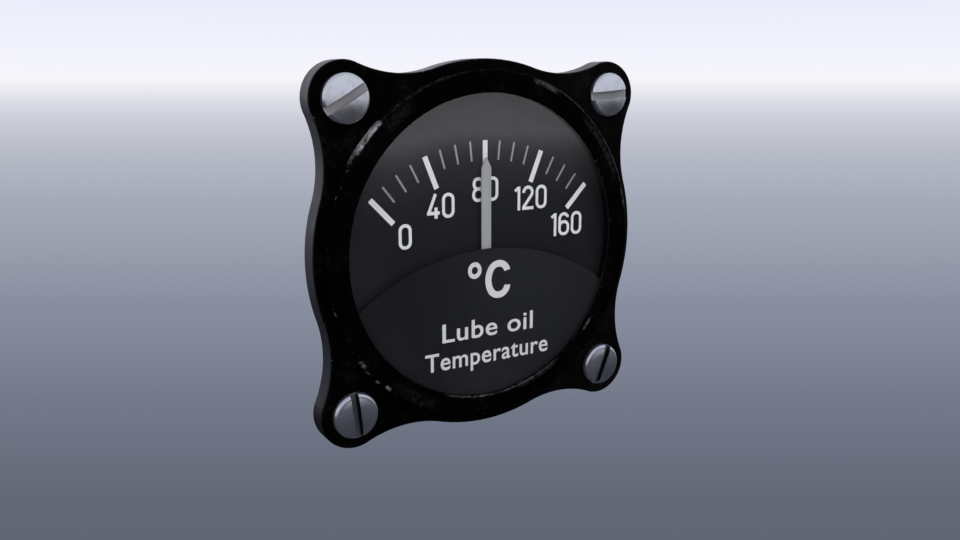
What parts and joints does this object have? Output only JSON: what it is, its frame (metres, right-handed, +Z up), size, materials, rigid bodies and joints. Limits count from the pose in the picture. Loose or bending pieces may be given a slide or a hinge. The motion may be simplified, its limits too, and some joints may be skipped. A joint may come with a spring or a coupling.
{
  "type": "oil temperature gauge",
  "caption": "Panel gauge for oil temperature: square-eared round front, glazed dial with a half mask and one pointer, stepped case and a screw connector behind.",
  "frame": {"origin": "centre of the flange rear face, the plane in which the gauge meets its panel", "axes": "+Y points into the panel along the case axis, +Z is up on the dial, +X is to the right of someone who reads the dial from -Y"},
  "size_m": [0.0584, 0.0379, 0.0584],
  "materials": {
    "bezel_black": "satin, scuffed",
    "board_brown": "laminated board",
    "bobbin_black": "moulded",
    "brass": "machined",
    "brass_sheet": "rolled sheet",
    "case_black": "satin black",
    "coil_copper": "enamelled copper wire",
    "connector_alloy": "plated, fine thread",
    "cover_glass": "clear, polished",
    "dial_grey": "matte dark grey with printed scale",
    "flange_black": "satin, worn to grey metal on the front edge",
    "insert_brown": "moulded",
    "jewel_red": "polished synthetic ruby",
    "light_alloy": "rolled sheet",
    "magnet": "as cast, dark",
    "mask_grey": "matte dark grey",
    "pin_gold": "gold plated",
    "plated_steel": "zinc plated",
    "pointer_paint": "matte light grey paint",
    "resistance_wire": "varnished fine wire",
    "rubber": "matte",
    "screw_steel": "plain, worn in the slots",
    "soft_iron": "ground",
    "spacer_black": "matte",
    "staff_steel": "polished",
    "strip_bronze": "fine rolled strip",
    "wire_red": "insulated wire"
  },
  "bodies": {
    "gauge": {"front_flange": "flange_black", "bezel_ring": "bezel_black", "cover_glass": "cover_glass", "glass_gasket": "rubber", "spacer_ring": "spacer_black", "dial_mask": "mask_grey", "dial_plate": "dial_grey", "dial_screws": "plated_steel", "dial_feet": "brass", "movement_plate": "brass_sheet", "movement_screws": "plated_steel", "jewel_bush": "brass", "ring_jewel": "jewel_red", "front_spacers": "brass", "rear_spacers": "brass", "flux_ring": "soft_iron", "core_magnet": "magnet", "core_bar": "brass", "rear_bridge": "brass_sheet", "bridge_screws": "plated_steel", "jewel_screw": "plated_steel", "cup_jewel": "jewel_red", "jewel_lock_nut": "brass", "stop_pins": "plated_steel", "ligaments": "strip_bronze", "ligament_posts": "brass", "board_posts": "brass", "terminal_board": "board_brown", "board_screws": "plated_steel", "bobbin_formers": "bobbin_black", "bobbin_windings": "resistance_wire", "solder_tags": "plated_steel", "lead_wires": "wire_red", "case_drum": "case_black", "cover_seal": "rubber", "rear_cover": "case_black", "cover_screws": "plated_steel", "connector_shell": "connector_alloy", "connector_nut": "connector_alloy", "connector_insert": "insert_brown", "insert_ring": "plated_steel", "contact_pins": "pin_gold", "mounting_screws": "screw_steel"},
    "pointer_assembly": {"pointer": "pointer_paint", "pointer_hub": "brass", "front_staff": "staff_steel", "rear_staff": "staff_steel", "coil_inner": "coil_copper", "coil_outer": "coil_copper", "balance_cross": "light_alloy", "balance_weights": "brass"}
  },
  "joints": [
    {"name": "pointer_turn", "type": "hinge", "parent": "gauge", "child": "pointer_assembly", "pos_m": [0, 0, -0.0118], "axis": [0, 1, 0], "range_deg": [-46, 46]}
  ]
}
